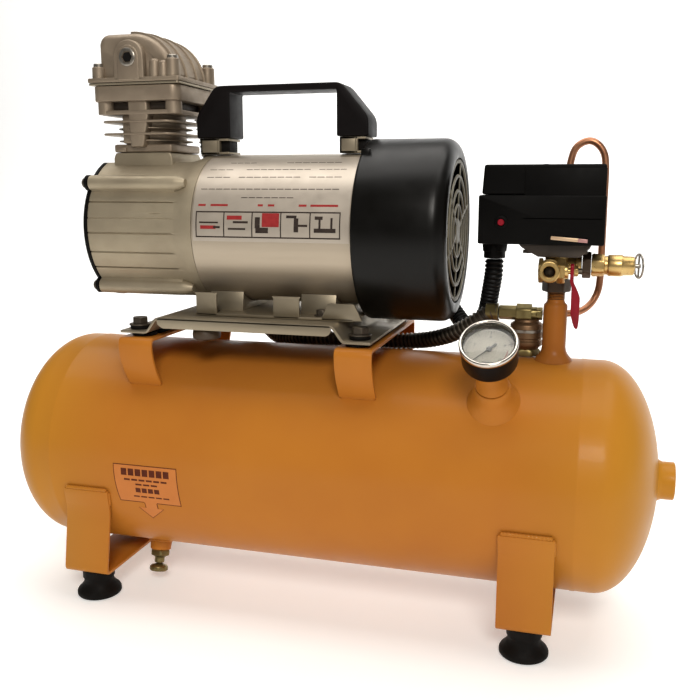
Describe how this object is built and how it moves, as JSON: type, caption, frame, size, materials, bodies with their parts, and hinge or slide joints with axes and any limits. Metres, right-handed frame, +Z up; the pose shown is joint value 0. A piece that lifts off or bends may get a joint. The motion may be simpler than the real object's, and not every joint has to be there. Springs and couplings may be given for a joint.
{
  "type": "airbrush compressor",
  "caption": "Small airbrush compressor: direct-drive piston pump and motor on a horizontal air tank with handle, pressure switch, gauge, safety valve, outlet valve and rubber feet.",
  "frame": {"origin": "centre of the bounding box in X and Y, on the surface that the rubber feet stand on", "axes": "+X along the tank, towards the fan and the pressure switch; +Z up; -Y is the front, where the gauge and the outlet valve face"},
  "size_m": [0.5354, 0.2072, 0.4561],
  "materials": {
    "tank_paint": "gloss orange enamel",
    "black_rubber": "matte",
    "steel": "zinc plated",
    "sheet_steel": "bare sheet, satin",
    "cast_aluminium": "as cast",
    "black_plastic": "satin black",
    "silver_paint": "champagne silver, satin",
    "lamination": "stacked sheet",
    "brass": "turned",
    "chrome": "polished",
    "red_vinyl": "dipped vinyl",
    "hose_braid": "steel braid over rubber",
    "copper": "bare copper",
    "dial_white": "matte",
    "glass": "clear"
  },
  "bodies": {
    "compressor": {"tank_barrel": "tank_paint", "tank_head_left": "tank_paint", "tank_head_right": "tank_paint", "leg_left": "tank_paint", "leg_right": "tank_paint", "saddle_left": "tank_paint", "saddle_right": "tank_paint", "column_pipe": "tank_paint", "foot_front_left": "black_rubber", "foot_front_right": "black_rubber", "foot_rear_left": "black_rubber", "foot_rear_right": "black_rubber", "isolator_left": "black_rubber", "isolator_right": "black_rubber", "motor_conduit": "black_rubber", "end_plug": "steel", "bearing_crank_side": "steel", "bearing_fan_side": "steel", "column_nut": "steel", "safety_adaptor": "steel", "motor_tray": "sheet_steel", "motor_cradle": "sheet_steel", "fan_grille": "sheet_steel", "valve_plate": "sheet_steel", "handle_bracket_left": "sheet_steel", "handle_bracket_right": "sheet_steel", "crankcase": "cast_aluminium", "cylinder": "cast_aluminium", "cylinder_head": "cast_aluminium", "diaphragm_flange": "cast_aluminium", "crankcase_cover": "black_plastic", "fan_cap": "black_plastic", "handle": "black_plastic", "switch_base": "black_plastic", "switch_cover": "black_plastic", "conduit_gland": "black_plastic", "gauge_case": "black_plastic", "stator_housing": "silver_paint", "stator_core": "lamination", "check_valve": "brass", "brass_manifold": "brass", "outlet_valve": "brass", "safety_valve": "brass", "drain_valve": "brass", "gauge_bezel": "chrome", "discharge_hose": "hose_braid", "bleed_tube": "copper", "contact_block": "dial_white", "gauge_dial": "dial_white", "gauge_lens": "glass"},
    "rotor": {"crankshaft": "steel", "rotor_core": "lamination", "cooling_fan": "black_plastic"},
    "piston_rod": {"piston": "cast_aluminium"},
    "outlet_lever": {"valve_ball": "chrome", "valve_lever": "red_vinyl"},
    "safety_ring": {"safety_pull": "steel"},
    "gauge_needle": {"gauge_pointer": "black_plastic"},
    "drain_knob": {"drain_screw": "brass"},
    "reset": {"reset_button": "red_vinyl"}
  },
  "joints": [
    {"name": "crankshaft_spin", "type": "hinge", "parent": "compressor", "child": "rotor", "pos_m": [-0.00565, 0.01042, 0.3032], "axis": [1, 0, 0], "continuous": true},
    {"name": "piston_stroke", "type": "slide", "parent": "compressor", "child": "piston_rod", "axis": [0, 0, 1], "range_m": [-0.016, 0]},
    {"name": "outlet_lever_turn", "type": "hinge", "parent": "compressor", "child": "outlet_lever", "pos_m": [0.17135, -0.00958, 0.277], "axis": [-1, 0, 0], "range_deg": [0, 90]},
    {"name": "safety_ring_pull", "type": "slide", "parent": "compressor", "child": "safety_ring", "axis": [1, 0, 0], "range_m": [0, 0.002], "stiffness_N_per_m": 2000},
    {"name": "gauge_needle_turn", "type": "hinge", "parent": "compressor", "child": "gauge_needle", "pos_m": [0.13785, -0.08414, 0.2315], "axis": [0, -0.6468, 0.7627], "range_deg": [-270, 0], "stiffness_Nm_per_rad": 0.00005},
    {"name": "drain_screw_turn", "type": "hinge", "parent": "compressor", "child": "drain_knob", "pos_m": [-0.14715, -0.02177, 0.01471], "axis": [0, -0.2924, -0.9563], "range_deg": [0, 330]},
    {"name": "reset_button_press", "type": "slide", "parent": "compressor", "child": "reset", "axis": [0, 1, 0], "range_m": [0, 0.0015], "stiffness_N_per_m": 400}
  ]
}
